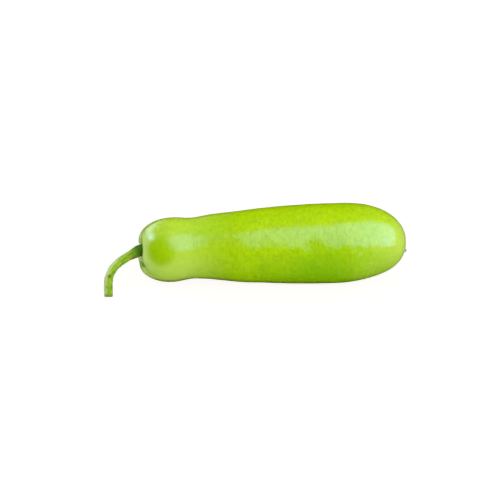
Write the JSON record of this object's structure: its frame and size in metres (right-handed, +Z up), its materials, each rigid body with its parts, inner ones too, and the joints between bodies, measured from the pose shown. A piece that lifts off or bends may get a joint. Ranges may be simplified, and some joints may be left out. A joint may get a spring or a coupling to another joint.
{
  "type": "bottle gourd",
  "caption": "Long pale-green bottle gourd lying on its side, with a slight neck, a lobed shoulder, its bent cut stalk and a dried flower remnant.",
  "frame": {"origin": "on the ground plane, under the middle of the whole object's box", "axes": "+X along the fruit from its stalk end to its blossom end, +Z up, -Y the side that the stalk bends towards"},
  "size_m": [0.3148, 0.0912, 0.0835],
  "materials": {
    "fruit_skin": "satin",
    "stem": "matte",
    "dried_blossom": "matte"
  },
  "bodies": {
    "root": {"fruit": "fruit_skin", "stem": "stem", "blossom_remnant": "dried_blossom"}
  },
  "joints": []
}
